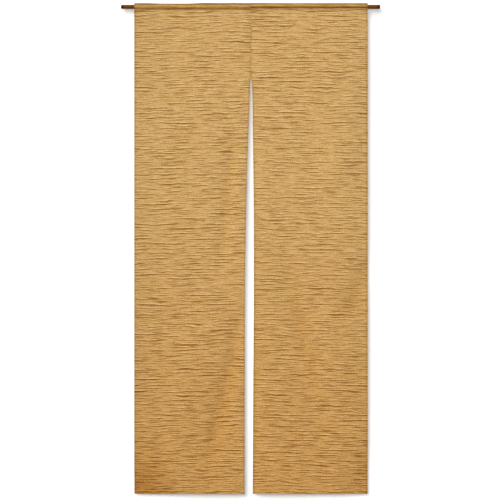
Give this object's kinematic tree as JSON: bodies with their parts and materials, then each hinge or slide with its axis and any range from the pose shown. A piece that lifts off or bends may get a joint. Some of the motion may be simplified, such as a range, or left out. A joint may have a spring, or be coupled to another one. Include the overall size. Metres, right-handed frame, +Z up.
{
  "type": "noren curtain with rod",
  "caption": "Split doorway curtain of tan slub cloth, two long panels sewn together at the top, hanging from a thin dark wooden rod through a sewn tunnel.",
  "frame": {"origin": "on the rod's axis, half way along the rod", "axes": "+X along the rod to the right as seen from the front, +Z up, and the front of the cloth faces -Y"},
  "size_m": [0.944, 0.0192, 1.7895],
  "materials": {
    "cloth": "tan slub weave with fine darker streaks across, matt",
    "wood": "dark stained, low sheen"
  },
  "bodies": {
    "root": {"rod": "wood", "left_panel": "cloth", "right_panel": "cloth"}
  },
  "joints": []
}
